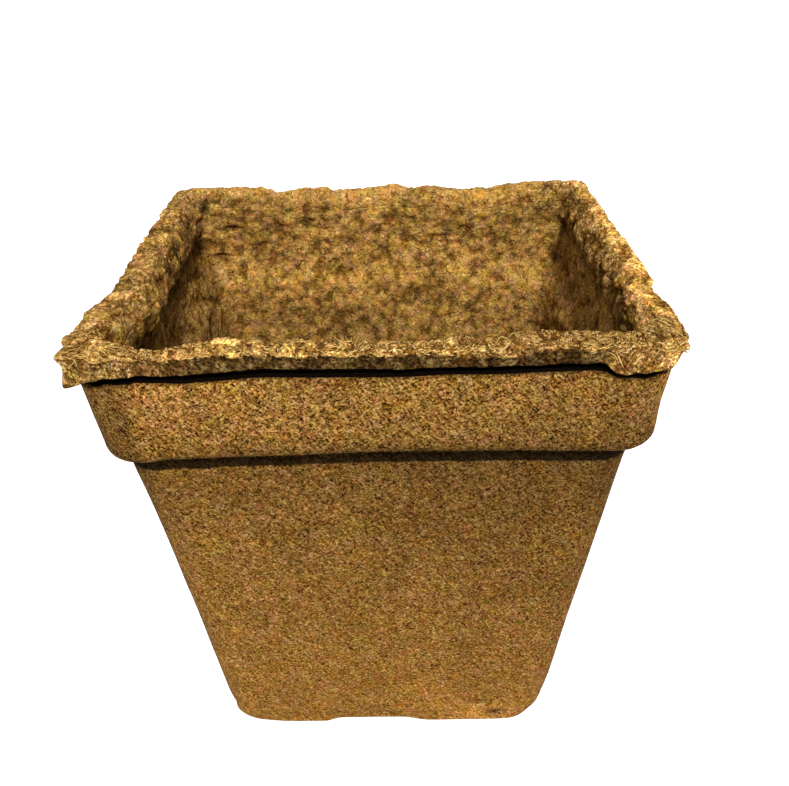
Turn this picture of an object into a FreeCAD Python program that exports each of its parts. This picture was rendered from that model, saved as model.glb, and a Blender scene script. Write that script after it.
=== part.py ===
"""Square peat pot, in millimetres.

The pot is one moulding of pressed fibre. It is divided here at its own steps into four solids that meet face
to face: the base, the side walls, the collar and the lip. The origin is the middle of the base on the surface
that it stands on, +Z is up, and the front of the pot looks along -Y.
"""

import FreeCAD, Part
import os
from collections import namedtuple

# Overall sizes, measured outside
POT_HEIGHT = 127.0
LIP_WIDTH = 133.35
BASE_WIDTH = 88.9

# The lip: a thick frayed edge that overhangs the collar
LIP_HEIGHT = 5.4
LIP_OVERHANG = 1.3
LIP_CORNER_RADIUS = 13.0
LIP_TOP_ROUNDING = 2.2
LIP_UNDER_ROUNDING = 1.2
LIP_FLARE = 1.4
LIP_FLARE_DEPTH = 2.0

# The groove that the lip throws into shadow, above the collar
GROOVE_HEIGHT = 1.6
GROOVE_DEPTH = 2.8

# The collar: a wider band round the top, which draws in a little down to the ledge, its rounded lower edge
COLLAR_HEIGHT = 21.5
COLLAR_DRAW_IN = 2.5
COLLAR_TOP_CORNER_RADIUS = 12.0
COLLAR_LOW_CORNER_RADIUS = 11.0
COLLAR_WALL = 5.0
COLLAR_TOP_ROUNDING = 0.8
LEDGE_WIDTH = 3.8
LEDGE_ROUNDING = 3.4
INNER_LEDGE_RISE = 4.0

# The side walls: a tapered sleeve from the base up to the collar
WALL = 4.0
WALL_TOP_CORNER_RADIUS = 10.0
COVE = 4.0

# The base: a square floor on four low feet, with a drain hole in its middle
BASE_CORNER_RADIUS = 9.0
FLOOR_THICKNESS = 4.5
BASE_EDGE_ROUNDING = 1.6
CHANNEL_WIDTH = 26.0
CHANNEL_HEIGHT = 1.5
DRAIN_DIAMETER = 10.0

# How far a cutting tool runs past what it cuts
OVERRUN = 2.0

# Two heights closer than this are one level
SAME_LEVEL = 1e-4

# How far along each axis the middle of a round corner lies from its centre, as a share of its radius
CORNER_SHARE = 0.5 ** 0.5

# Heights of the moulding's steps, from the top down
LIP_UNDERSIDE = POT_HEIGHT - LIP_HEIGHT
COLLAR_TOP = LIP_UNDERSIDE - GROOVE_HEIGHT
COLLAR_LOW = COLLAR_TOP - COLLAR_HEIGHT

# Half widths at those steps, each drawn in from the one above it
LIP_HALF = LIP_WIDTH / 2
COLLAR_TOP_HALF = LIP_HALF - LIP_OVERHANG
COLLAR_LOW_HALF = COLLAR_TOP_HALF - COLLAR_DRAW_IN
WALL_TOP_HALF = COLLAR_LOW_HALF - LEDGE_WIDTH

# A level outline of the pot: a square with round corners, about the Z axis
Section = namedtuple("Section", "half_width corner_radius z")

BASE_SECTION = Section(BASE_WIDTH / 2, BASE_CORNER_RADIUS, 0)
WALL_TOP_SECTION = Section(WALL_TOP_HALF, WALL_TOP_CORNER_RADIUS, COLLAR_LOW)
COLLAR_LOW_SECTION = Section(COLLAR_LOW_HALF, COLLAR_LOW_CORNER_RADIUS, COLLAR_LOW)
COLLAR_TOP_SECTION = Section(COLLAR_TOP_HALF, COLLAR_TOP_CORNER_RADIUS, COLLAR_TOP)
LIP_SECTION = Section(LIP_HALF, LIP_CORNER_RADIUS, POT_HEIGHT)


def between(low, high, z):
    """The section at height z on the straight taper through two sections, also past either of them."""
    share = (z - low.z) / (high.z - low.z)
    half_width = low.half_width + share * (high.half_width - low.half_width)
    corner_radius = low.corner_radius + share * (high.corner_radius - low.corner_radius)
    return Section(half_width, corner_radius, z)


def inset(section, depth):
    """The section that lies a depth inside another, at the same height, with its corners concentric."""
    return Section(section.half_width - depth, section.corner_radius - depth, section.z)


def outer_wall(z):
    """The outside of the side walls at height z."""
    return between(BASE_SECTION, WALL_TOP_SECTION, z)


def inner_collar(z):
    """The inside of the collar, its neck and the lip at height z."""
    return inset(between(COLLAR_LOW_SECTION, COLLAR_TOP_SECTION, z), COLLAR_WALL)


def quarter_turned(point, turns):
    """A point of the level plane turned about the origin by quarter turns."""
    x, y = point
    for _ in range(turns):
        x, y = -y, x
    return x, y


def outline(section):
    """The section as a wire of four flats and four round corners."""
    flat = section.half_width - section.corner_radius
    bulge = flat + section.corner_radius * CORNER_SHARE
    side = [(section.half_width, -flat), (section.half_width, flat)]
    corner = [(section.half_width, flat), (bulge, bulge), (flat, section.half_width)]
    edges = []
    for turns in range(4):
        for curve, points in ((Part.LineSegment, side), (Part.Arc, corner)):
            turned = [quarter_turned(point, turns) for point in points]
            edges.append(curve(*[FreeCAD.Vector(x, y, section.z) for x, y in turned]).toShape())
    return Part.Wire(edges)


def tapered(*sections):
    """A solid that runs straight from each section to the next."""
    return Part.makeLoft([outline(section) for section in sections], True, True)


def rounded_at(solid, z, radius):
    """The solid with its outer edges at height z rounded over."""
    level = []
    for edge in solid.Edges:
        box = edge.BoundBox
        if abs(box.ZMin - z) < SAME_LEVEL and abs(box.ZMax - z) < SAME_LEVEL:
            level.append(edge)
    return solid.makeFillet(radius, level)


def make_base():
    """The floor with its rounded lower edge, four feet between two crossed channels, and a drain hole."""
    base = rounded_at(tapered(BASE_SECTION, outer_wall(FLOOR_THICKNESS)), 0, BASE_EDGE_ROUNDING)
    length = BASE_WIDTH + 2 * OVERRUN
    for along_x, along_y in ((length, CHANNEL_WIDTH), (CHANNEL_WIDTH, length)):
        corner = FreeCAD.Vector(-along_x / 2, -along_y / 2, -OVERRUN)
        base = base.cut(Part.makeBox(along_x, along_y, CHANNEL_HEIGHT + OVERRUN, corner))
    drain_foot = FreeCAD.Vector(0, 0, -OVERRUN)
    return base.cut(Part.makeCylinder(DRAIN_DIAMETER / 2, FLOOR_THICKNESS + 2 * OVERRUN, drain_foot))


def make_side_walls():
    """The tapered sleeve, with a sloping cove where it meets the floor."""
    foot = outer_wall(FLOOR_THICKNESS)
    above_cove = outer_wall(FLOOR_THICKNESS + COVE)
    sleeve = tapered(foot, WALL_TOP_SECTION)
    hollow = tapered(inset(foot, WALL + COVE), inset(above_cove, WALL), inset(WALL_TOP_SECTION, WALL))
    return sleeve.cut(hollow)


def make_collar():
    """The band with its ledge, and the neck that carries the lip across the groove."""
    band = tapered(COLLAR_LOW_SECTION, COLLAR_TOP_SECTION)
    band = rounded_at(band, COLLAR_LOW, LEDGE_ROUNDING)
    band = rounded_at(band, COLLAR_TOP, COLLAR_TOP_ROUNDING)
    neck_foot = inset(COLLAR_TOP_SECTION, GROOVE_DEPTH)
    band = band.fuse(tapered(neck_foot, neck_foot._replace(z=LIP_UNDERSIDE)))
    inner_ledge_top = inner_collar(COLLAR_LOW + INNER_LEDGE_RISE)
    hollow = tapered(inset(WALL_TOP_SECTION, WALL), inner_ledge_top, inner_collar(LIP_UNDERSIDE))
    return band.cut(hollow).removeSplitter()


def make_lip():
    """The thick overhanging edge, rounded above and below, whose mouth flares a little."""
    rim = tapered(LIP_SECTION._replace(z=LIP_UNDERSIDE), LIP_SECTION)
    rim = rounded_at(rim, POT_HEIGHT, LIP_TOP_ROUNDING)
    rim = rounded_at(rim, LIP_UNDERSIDE, LIP_UNDER_ROUNDING)
    mouth = inset(inner_collar(POT_HEIGHT), -LIP_FLARE)
    hollow = tapered(inner_collar(LIP_UNDERSIDE), inner_collar(POT_HEIGHT - LIP_FLARE_DEPTH), mouth)
    return rim.cut(hollow)


def main():
    os.makedirs("parts", exist_ok=True)
    makers = {"base": make_base, "side_walls": make_side_walls, "collar": make_collar, "lip": make_lip}
    for name, maker in makers.items():
        shape = maker()
        print(name, "solids", len(shape.Solids), "valid", shape.isValid(), "volume", round(shape.Volume, 1))
        shape.exportStep(os.path.join("parts", name + ".step"))


main()
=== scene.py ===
"""The looks of a square peat pot: a pressed outside, a lumpy inside and a frayed lip."""

import math
from collections import namedtuple

import bpy
import numpy as np
from mathutils import Matrix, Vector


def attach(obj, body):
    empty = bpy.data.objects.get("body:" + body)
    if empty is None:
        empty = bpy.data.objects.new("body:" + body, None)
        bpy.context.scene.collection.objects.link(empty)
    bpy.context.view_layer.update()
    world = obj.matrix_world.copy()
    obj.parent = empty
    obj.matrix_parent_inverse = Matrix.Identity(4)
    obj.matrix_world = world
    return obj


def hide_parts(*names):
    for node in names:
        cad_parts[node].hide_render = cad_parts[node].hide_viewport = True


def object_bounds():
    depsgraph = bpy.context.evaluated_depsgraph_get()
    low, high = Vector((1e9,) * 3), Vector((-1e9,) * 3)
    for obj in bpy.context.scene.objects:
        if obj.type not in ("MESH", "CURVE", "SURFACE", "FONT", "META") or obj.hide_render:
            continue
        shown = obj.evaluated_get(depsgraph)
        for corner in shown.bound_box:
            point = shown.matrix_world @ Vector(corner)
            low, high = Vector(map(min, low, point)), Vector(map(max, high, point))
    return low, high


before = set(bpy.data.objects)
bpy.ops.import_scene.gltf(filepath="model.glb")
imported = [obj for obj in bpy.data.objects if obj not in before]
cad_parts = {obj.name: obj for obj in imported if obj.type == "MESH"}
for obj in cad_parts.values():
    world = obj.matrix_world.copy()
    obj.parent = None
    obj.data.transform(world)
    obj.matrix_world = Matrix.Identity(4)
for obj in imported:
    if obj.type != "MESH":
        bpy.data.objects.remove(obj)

cad_box = [list(map(float, corner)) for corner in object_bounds()]

# Lengths below are in millimetres, and meshes are made in metres
MM = 0.001
# A length that is divided by is taken to be at least this
LEAST = 1e-9

# The frame's box, which nothing may leave
BOX_HALF = cad_box[1][0] / MM
BOX_TOP = cad_box[1][2] / MM

# Sections of the pot: half width, and half the length of its flat side, at the named heights
FLOOR_TOP = 4.5
COLLAR_LOW = 98.5
COLLAR_TOP = 120
LIP_UNDERSIDE = 121.6
BASE_SECTION, COLLAR_LOW_SECTION = (44.45, 35.45), (62.875, 51.9)
WALL_TOP_HALF, WALL_TOP_FLAT = 59.075, 49.1
COLLAR_TOP_HALF, COLLAR_TOP_FLAT = 65.375, 53.4
NECK_HALF = 62.575
LIP_FLAT = 53.6
WALL = 4
DRAIN_RADIUS = 5

# Surfaces, in the order of the material slots, and the strips that lie between two pieces
HIDDEN = -1
# GROOVE is painted near black, as the shadow in the groove under the lip and under the collar's ledge
OUTSIDE, INSIDE, GROOVE = range(3)


# Noise

NOISE_TABLE = 256
NOISE_SEED = 11
# The shift from one seed to the next, in lumps
NOISE_SHIFT, CRUMB_SHIFT = 17.3, 13.7
noise_random = np.random.default_rng(NOISE_SEED)
noise_order = np.tile(noise_random.permutation(NOISE_TABLE), 3)
noise_slopes = noise_random.normal(size=(NOISE_TABLE, 3))
noise_slopes /= np.linalg.norm(noise_slopes, axis=1)[:, None]


def shuffled(cell):
    x, y, z = (cell % NOISE_TABLE).T
    return noise_order[noise_order[noise_order[x] + y] + z]


def noise(points, size, seed):
    """Smooth noise between about -0.7 and 0.7, with lumps as wide as size."""
    scaled = points / np.asarray(size, float) + NOISE_SHIFT * seed
    cell = np.floor(scaled).astype(int)
    inside = scaled - cell
    fade = inside ** 3 * (inside * (inside * 6 - 15) + 10)
    total = np.zeros(len(points))
    for corner in np.ndindex(2, 2, 2):
        slope = noise_slopes[shuffled(cell + corner)]
        weight = np.prod(np.where(corner, fade, 1 - fade), axis=1)
        total += weight * np.sum(slope * (inside - corner), axis=1)
    return total


crumb_places = noise_random.random((NOISE_TABLE, 3))
crumb_sizes = noise_random.uniform(0.25, 0.8, NOISE_TABLE)
# The crumbs' mean height, which is taken off, and the gain after that
CRUMB_MEAN, CRUMB_GAIN = 0.3, 1.3


def crumbs(points, size, seed):
    """Rounded crumbs of several sizes, pressed together, about zero on average."""
    scaled = points / np.asarray(size, float) + CRUMB_SHIFT * seed
    cell = np.floor(scaled).astype(int)
    highest = np.full(len(points), -1.0)
    for step in np.ndindex(3, 3, 3):
        near = cell + step - 1
        crumb = shuffled(near)
        gap = np.sum((scaled - near - crumb_places[crumb]) ** 2, axis=1)
        highest = np.maximum(highest, crumb_sizes[crumb] - gap)
    return CRUMB_GAIN * (highest - CRUMB_MEAN)


def unit(vectors):
    return vectors / np.maximum(np.linalg.norm(vectors, axis=-1, keepdims=True), LEAST)


def ramp(value, start, end):
    """Smooth step from 0 at start to 1 at end, which may lie on either side of it."""
    share = np.clip((value - start) / (end - start), 0, 1)
    return share * share * (3 - 2 * share)


def bump(value, middle, width):
    """A smooth hill, 1 high in its middle and gone at about twice its width."""
    return np.exp(-((value - middle) / width) ** 2)


def spot(first, second, middle, reach):
    """A smooth hill over two axes, with one reach or one along each."""
    first_reach, second_reach = np.broadcast_to(reach, 2)
    return bump(np.hypot((first - middle[0]) / first_reach, (second - middle[1]) / second_reach), 0, 1)


def through(value, pairs):
    """A smooth line through a few (position, height) pairs."""
    at, height = zip(*pairs)
    value = np.clip(value, at[0], at[-1])
    k = np.clip(np.searchsorted(at, value, side="right") - 1, 0, len(at) - 2)
    at, height = np.array(at, float), np.array(height, float)
    return height[k] + (height[k + 1] - height[k]) * ramp(value, at[k], at[k + 1])


# The frame's sections

def between(low, high, share):
    return [start + share * (end - start) for start, end in zip(low, high)]


def wall_at(z, inset=0):
    """Half width and half flat side of the walls, outside or this far inside."""
    half, flat = between(BASE_SECTION, (WALL_TOP_HALF, WALL_TOP_FLAT), z / COLLAR_LOW)
    return half - inset, flat


def collar_at(z):
    """The same for the collar."""
    share = (z - COLLAR_LOW) / (COLLAR_TOP - COLLAR_LOW)
    return between(COLLAR_LOW_SECTION, (COLLAR_TOP_HALF, COLLAR_TOP_FLAT), share)


# How the moulding has warped in drying and use

# Along the front from left to right, in X: how far the groove, the ledge and the lip's top have risen
FRONT_GROOVE = (
    (-66, -2.2), (-58, -2.1), (-56, -1.25), (-51.2, -1.25), (-49.6, -0.85), (-46, -1), (-39, -1.23),
    (-35, -0.9), (-22, -0.1), (-10, -0.4), (7, -0.6), (16, -0.25), (26, -0.4), (37, -0.1), (45.5, 0.1),
    (47.8, -0.1), (51.8, -1.75), (54.5, -1.8), (57.5, -2.4), (60, -2.2), (66, -1.2),
)
# how far the lip's lower face hangs below the frame's
FRONT_HANG = (
    (-66, 2.2), (-61, 2), (-58, 0.6), (-54, 0.7), (-50, 0.9), (-46, 0.95), (-40, 0.85), (-28, 0.65),
    (-10, 0.6), (20, 0.8), (30, 0.8), (34, 1), (44, 0.9), (48, 0.5), (51.6, 1.6), (53.4, 1.8),
    (55.5, 1.2), (58, 1), (66, 1.6),
)
FRONT_LEDGE = (
    (-60, -1.3), (-52, -1), (-46, -0.3), (-30, 0.1), (0, 0.7), (30, 0.6), (48, 0.1), (55, -0.3),
)
FRONT_TOP = (
    (-66, -0.2), (-60, 0), (-52, -0.5), (-47, -1.2), (-41, -0.6), (-32, 0), (-14, -0.3), (6, -0.4),
    (27, -0.6), (33, 0), (40, 0), (50, -0.2), (60, 0), (66, -1),
)
# how high the pale fringe comes down to over the lip's darker lower face
FRONT_EDGE = ((-66, 125.5), (15, 125.3), (20, 124.3), (37, 124.2), (42, 125), (66, 125))
# Along the back: how far the lip's top has risen
BACK_TOP = (
    (-66, 0), (-41, 0), (-33, -1.7), (-29, -1.5), (-24, -0.3), (-14, -1.6), (-6, -0.9), (2, 0), (10, -1.1),
    (18, -0.7), (27, -1.8), (34, -1.7), (44, -0.2), (61, 0), (66, -0.9),
)
# Along the left and right sides, in Y: how far the lip has drawn in, or spread out where below 0
LEFT_DRAWN = (
    (-66, 0), (-60, 0.8), (-47, 1.4), (-42, 1.1), (-36, 1.8), (-30, 2.8), (-20, 2.9), (-7, 2), (9, 1.1),
    (26, 0.2), (48, -0.6),
)
RIGHT_DRAWN = ((-64, -0.7), (-49, -1.1), (-43.5, 0.1), (-37, 1.6), (-33.5, 1.6), (-28.5, -0.5), (-23, -1.3))
# How far the lip has frayed inwards: along the front in X, along the left side in Y, and elsewhere
FRONT_FRAYED = (
    (-62, 1.5), (-54, 2), (-50, 0.5), (-43, 0.6), (-37, 2), (-32, 2.7), (-20, 1.4), (-8, 0.7),
    (10, 0.7), (16, 1.2), (19.5, 4), (23, 2.2), (27, 3.4), (33, 5.4), (39, 5.2), (46, 4), (54, 3.4),
)
LEFT_FRAYED = ((-60, 2.5), (-45, 3.9), (-30, 3.6), (0, 2.6), (30, 2.2), (60, 1.6))
RIGHT_FRAYED, BACK_FRAYED = 1.3, 1.1
# How far the walls bow in on the left and on the right, and how far the collar's foot leans to the right
WALL_BOW_LEFT, WALL_BOW_RIGHT = 0.95, 0.25
FOOT_LEAN_LEFT, FOOT_LEAN_RIGHT = 0.5, 0.8
# Where the back corners lie, how far each is drawn out sideways, and the share of that to the back
BACK_CORNER = 62
BACK_DRAWN = ((-1, 2.4), (1, 2.9))
BACK_SHARE = 0.8
# The base's front corners: the left one is sharp, and the right one is worn away
SHARP_CORNER, WORN_CORNER = (-43.5, -40), (43, -43)
CORNER_CHANGE = 0.9
# A side of the upper part begins this far from the middle, and is wholly itself from here
SIDE_START, SIDE_END = 40, 56


def ring_place(points, flat=LIP_FLAT):
    """The half width of the ring that each point lies on, for this length of flat side."""
    beyond = np.abs(points[:, :2]) - np.reshape(flat, (-1, 1))
    return flat + np.where(beyond.min(axis=1) > 0, np.hypot(*beyond.T), beyond.max(axis=1))


def facing(points):
    """How much each point belongs to the upper part's left, right, front and back."""
    x, y = points[:, 0], points[:, 1]
    return [ramp(side, SIDE_START, SIDE_END) for side in (-x, x, -y, y)]


def fray(points):
    """The points with the lip's inner edge grown inwards, most of all below its top."""
    x, y, z = points.T
    left, right, front, back = facing(points)
    inner = ramp(ring_place(points), 64.5, 61)
    overhang = ramp(z, 112, 118) * (1 - 0.6 * ramp(z, 119, 127))
    across = left * through(y, LEFT_FRAYED) - right * RIGHT_FRAYED
    along = front * through(x, FRONT_FRAYED) * ramp(z, 116, 122) - back * BACK_FRAYED * bump(z, 119, 9)
    return np.stack([x + inner * overhang * across, y + inner * along, z], 1)


def warp(points):
    """The true square moulding's points moved to where the used one has them."""
    x, y, z = points.T
    upper = ramp(z, 100, 121)
    lip = ramp(z, LIP_UNDERSIDE - 1, LIP_UNDERSIDE + 4)
    left, right, front, _ = facing(points)
    groove_shift = ramp(z, 106, 119.5) * through(x, FRONT_GROOVE) * front
    ledge_shift = bump(z, COLLAR_LOW, 8) * through(x, FRONT_LEDGE) * front
    sag = through(x, BACK_TOP) * ramp(y, -40, 60)
    top_shift = through(x, FRONT_TOP) * front + sag
    rise = (1 - lip) * (groove_shift + ledge_shift + upper * sag) + lip * top_shift
    right_drawn = right * through(y, RIGHT_DRAWN)
    across = upper * (left * through(y, LEFT_DRAWN) - np.maximum(right_drawn, 0))
    across -= lip * np.minimum(right_drawn, 0)
    across += WALL_BOW_LEFT * ramp(x, -20, -40) * bump(z, 58, 44)
    across -= WALL_BOW_RIGHT * ramp(x, 20, 40) * bump(z, 50, 40)
    across += (FOOT_LEAN_LEFT * left + FOOT_LEAN_RIGHT * right) * bump(z, 101, 6) * ramp(y, 0, -40)
    along = np.zeros_like(y)
    for side, reach in BACK_DRAWN:
        near = spot(x, y, (side * BACK_CORNER, BACK_CORNER), 11) * ramp(z, 96, 118)
        across += side * reach * near
        along += BACK_SHARE * reach * near
    # the sharp corner draws in again where it meets the ground
    sharp = spot(x, y, SHARP_CORNER, 5) * ramp(z, 9, 1) * (1 - 1.25 * ramp(z, 6, 0.5))
    worn = spot(x, y, WORN_CORNER, 6) * ramp(z, 16, 1)
    across += CORNER_CHANGE * (sharp - worn)
    return np.stack([x + across, y + along + 0.5 * worn, z + rise], 1)


# Rings of points

# Points round a ring, and the share of them that lie on its round corners
COLUMNS = 960
CORNER_SHARE = 0.17
Station = namedtuple("Station", "z half flat weights surface step roundness facing", defaults=(0, None))
# Weights of the outside's, the inside's and the lip's roughness
NONE, OUT, IN = (0, 0, 0), (1, 0, 0), (0, 1, 0)


def unit_ring(count):
    """Points round a ring: their corner's centre per unit of flat, and their outward direction."""
    a_side = count // 4
    corner = int(round(a_side * CORNER_SHARE / 2)) * 2
    flat = a_side - corner
    along = np.linspace(-1, 1, flat, endpoint=False)
    turn = np.linspace(0, math.pi / 2, corner, endpoint=False)
    centre = np.concatenate([np.stack([np.ones(flat), along], 1), np.ones((corner, 2))])
    way = np.concatenate([np.tile((1, 0), (flat, 1)), np.stack([np.cos(turn), np.sin(turn)], 1)])
    sides = [np.stack([centre, way])]
    for _ in range(3):
        x, y = np.moveaxis(sides[-1], 2, 0)
        sides.append(np.stack([-y, x], 2))
    return np.concatenate(sides, 1)


ring_centres, ring_ways = unit_ring(COLUMNS)


def rows_of(loop):
    """The closed loop of stations divided into rows at most a station's step apart."""
    rows = []
    for station, following in zip(loop, loop[1:] + loop[:1]):
        length = math.hypot(following.z - station.z, following.half - station.half)
        parts = 1 if station.surface == HIDDEN else max(1, math.ceil(length / station.step))
        for part in range(parts):
            mixed = {}
            for key in ("z", "half", "flat", "weights", "roundness"):
                start, end = np.array(getattr(station, key), float), np.array(getattr(following, key), float)
                mixed[key] = start + part / parts * (end - start)
            rows.append(station._replace(**mixed, facing=None if part else station.facing))
    return rows


# Roughness

# Crumbs and loose grains are this much shorter across the pot than from front to back
GRAIN_ALONG_Y = np.array((1, 0.62, 1))
# Layers of noise or crumbs: their height, the size of their lumps, and their seed
OUTSIDE_NOISE = ((0.35, 38, 1), (0.14, 9, 2), (0.06, 2.6, 3))
BROAD_CRUMBS = ((0.5, 6, 4),)
FINE_CRUMBS = ((0.95, 2.9, 5), (0.4, 1.5, 14))
INSIDE_NOISE = ((0.8, 17, 6),)
LIP_CRUMBS = ((0.45, 4.5, 8), (0.7, 2.2, 10), (0.35, 1.2, 9))
LIP_NOISE = ((1.1, 8, 7),)
# Single cracks in the back inner face: their middle in X and Z, and their reach along each
BACK_CRACKS = (((-48.6, 114.9), (2.6, 0.5)), ((-53.2, 105.6), (3.4, 0.55)), ((-23.2, 117.4), (1.8, 0.5)))
# The lumps that hang at the lip's front corners: their middle in X and Y, and their reach
LEFT_LUMP, RIGHT_LUMP = ((-63, -63), 11), ((60, -62), 12)


def layered(make, points, layers):
    """The sum of a few layers of noise or crumbs."""
    return sum(height * make(points, size, seed) for height, size, seed in layers)


def fissures(points):
    """Short cracks along the inner face, mostly in the collar: 1 in a crack, 0 elsewhere."""
    x, y, z = points.T
    turn = ramp(np.degrees(np.arctan2(np.abs(x), np.abs(y))), 38, 52)
    size, seed = (13, 13, 3.6), 12
    level = (1 - turn) * noise(points, size, seed) + turn * noise(np.stack([y, x, z], 1), size, seed)
    zone = 0.3 + 0.7 * bump(z, 114, 7)
    return bump(level, 0, 0.1) * zone * ramp(noise(points, 7, 13), 0.12, 0.26)


def back_cracks(points):
    """How near each point lies to the middle of a single crack."""
    x, y, z = points.T
    return ramp(y, 48, 54) * np.max([spot(x, z, middle, reach) for middle, reach in BACK_CRACKS], axis=0)


def outside_roughness(points):
    return layered(noise, points, OUTSIDE_NOISE), 0


def inside_roughness(points):
    grainy = points * GRAIN_ALONG_Y
    broad, fine = layered(crumbs, grainy, BROAD_CRUMBS), layered(crumbs, grainy, FINE_CRUMBS)
    cracks = 0.6 * fissures(points) + 1.5 * back_cracks(points)
    return broad + fine - cracks + layered(noise, grainy, INSIDE_NOISE), 0.6 * broad + fine - 1.2 * cracks


def lip_roughness(points):
    grainy = points * GRAIN_ALONG_Y
    frayed = layered(crumbs, grainy, LIP_CRUMBS)
    left, _, _, back = facing(points)
    return frayed + layered(noise, grainy, LIP_NOISE), 1.3 * (1 - 0.5 * back - 0.2 * left) * frayed


def roughness(points, weights):
    """How far each point stands out, and its relief: below 0 in pits and above 0 on crests."""
    depth, relief = np.zeros(len(points)), np.zeros(len(points))
    for weight, make in zip(weights.T, (outside_roughness, inside_roughness, lip_roughness)):
        chosen = weight > 0
        if chosen.any():
            height, crest = make(points[chosen])
            depth[chosen] += weight[chosen] * height
            relief[chosen] += weight[chosen] * crest
    return depth, relief


def corner_lumps(points):
    """How near each point lies to the lumps at the lip's front left and right corners."""
    x, y, _ = points.T
    return spot(x, y, *LEFT_LUMP), spot(x, y, *RIGHT_LUMP)


# What is painted on the points

# Up the outside and up the inside: how light the peat is at each height, against its mean, as painted shade
# Outside, painted light and shade: the body darker high and lighter low, a shadow band under the ledge,
# the collar's downward foot darker, and the collar lighter towards its top
OUTSIDE_SHADE = (
    (0, 1.2), (15, 1.18), (60, 0.98), (90, 0.76), (94.4, 0.72), (94.8, 0.08), (98.7, 0.08), (99.5, 0.5),
    (101, 0.8), (104, 1.06), (112, 1.22), (119.5, 1.27), (120, 0.9), (127, 1),
)
# Inside, painted shade: the wall darker low down and just under the rim
INSIDE_SHADE = (
    (0, 0.7), (70, 0.74), (84, 0.78), (98, 0.97), (110, 1), (117, 0.86), (122, 0.9), (127, 1),
)
# Places that are lighter, or darker where below 0: their middle and reach along two axes
Mark = namedtuple("Mark", "middle reach change")
BASE_PATCH = Mark((27, 4.5), (8, 4.5), 0.8)
# the collar's light patch at the front right is painted light
COLLAR_PAINTED_LIGHT = Mark((61, 114), (5, 6), 0.35)
# the dent, the slot and the rim's hollow are darkened as painted shade
BASE_DENT_SHADE = Mark((30.3, 4.2), (2.1, 1.25), -0.95)
BASE_SLOT_SHADE = Mark((26, 9), (2.4, 0.9), -0.6)
RIM_HOLLOW_SHADE = Mark((52, 62), (4.2, 1), -0.6)


def lip_front(points):
    """How much each point belongs to the outer face of the lip's front."""
    return ramp(points[:, 1], -60, -63) * ramp(points[:, 2], 121.7, 122)


def paleness(points):
    """How pale and loose the fibre is: 1 on the lip's top and front corners, and 0 in the inner wall."""
    z = points[:, 2]
    front = facing(points)[2]
    lump = np.maximum(*corner_lumps(points))
    top = front * ramp(z, 124.8, 126) + (1 - front) * ramp(z, 114, 125)
    return np.maximum(top, ramp(lump, 0.2, 0.5) * ramp(z, 121, 122.5))


def grittiness(points):
    """How coarse the fibre is: most on the front of the lip, least on the inner wall."""
    left, right, _, _ = facing(points)
    pale = paleness(points)
    across_front = ramp(points[:, 1], -46, -56) * np.maximum(pale, lip_front(points))
    return np.maximum(across_front, 0.28 * pale * np.maximum(left, right))


def marked(first, second, mark):
    return mark.change * spot(first, second, mark.middle, mark.reach)


def outside_level(points):
    """How light the outside is: painted light to the left, patches, and painted shade in a dent and a slot.
    """
    x, y, z = points.T
    across = x * ramp(np.abs(x) - np.abs(y), 5, -3)
    level = through(z + 0.3 * noise(points, 2.5, 30), OUTSIDE_SHADE)
    # painted light: the front is lighter to the left and darker to the right
    level *= 1 - across / 60 * (0.04 + 0.14 * ramp(z, 10, 90))
    level += marked(x, z, BASE_PATCH) * ramp(y, 0, -30) + marked(x, z, COLLAR_PAINTED_LIGHT) * ramp(y, -40, -50)
    for mark in (BASE_DENT_SHADE, BASE_SLOT_SHADE):
        level *= 1 + marked(x, z, mark) * ramp(y, -30, -42)
    return level


def lip_level(points):
    """How light the lip is: painted shadow on the front's lower face, and lightest at the right."""
    x, _, z = points.T
    left, right, front, back = facing(points)
    lump = ramp(np.maximum(*corner_lumps(points)), 0.2, 0.5)
    outer_face = lip_front(points) * (1 - lump)
    edge = through(x, FRONT_EDGE) + layered(noise, points, ((0.5, 3, 31), (0.7, 1.3, 33)))
    # painted shadow on the front's lower face under the pale fringe, weaker towards the left end
    level = 1 - outer_face * ramp(z, edge + 0.3, edge - 0.35) * (0.74 - 0.38 * ramp(x, -36, -50))
    # a broken line of painted shade follows the pale fringe's lower edge
    broken = ramp(noise(points, (4, 4, 3), 34), -0.1, 0.2)
    level *= 1 - 0.5 * outer_face * bump(z, edge - 0.35, 0.28) * broken
    level *= 1 - lump * np.where(x < 0, 0.48, 0.1) * ramp(z, 126.6, 125)
    sides = (1 - front) * (0.62 * right * ramp(z, 124, 126) - 0.08 * left)
    return level * (1 + ramp(z, 119, 123) * (0.16 * front - 0.02 * back + sides))


def inside_level(points):
    """How light the inner face is: painted shade at the sides, above all just under the rim."""
    x, y, z = points.T
    left, right, front, _ = facing(points)
    spots = 0.75 + 0.6 * noise(points, 5, 35)
    side_shade = np.where(x < 0, 0.32 + 0.5 * spots * bump(z, 112, 3.2), 0.1 + 0.35 * spots * bump(z, 118, 3))
    level = through(z, INSIDE_SHADE) * (1 - ramp(np.abs(x) - np.abs(y), -1.5, 1.5) * side_shade * ramp(z, 123, 117))
    # blots of painted shade break the inner edge of the rim at the sides
    shade_blots = ramp(noise(points, (5, 8, 5), 36), -0.05, 0.2) * bump(z, 121, 4)
    level *= 1 - (0.6 * left + 0.35 * right) * (1 - front) * shade_blots
    # painted shade marks a crease in the back right corner
    return level * (1 - 0.45 * bump(x - y, 0, 1.4) * ramp(x, 50, 54) * ramp(z, 126.5, 124))


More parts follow.
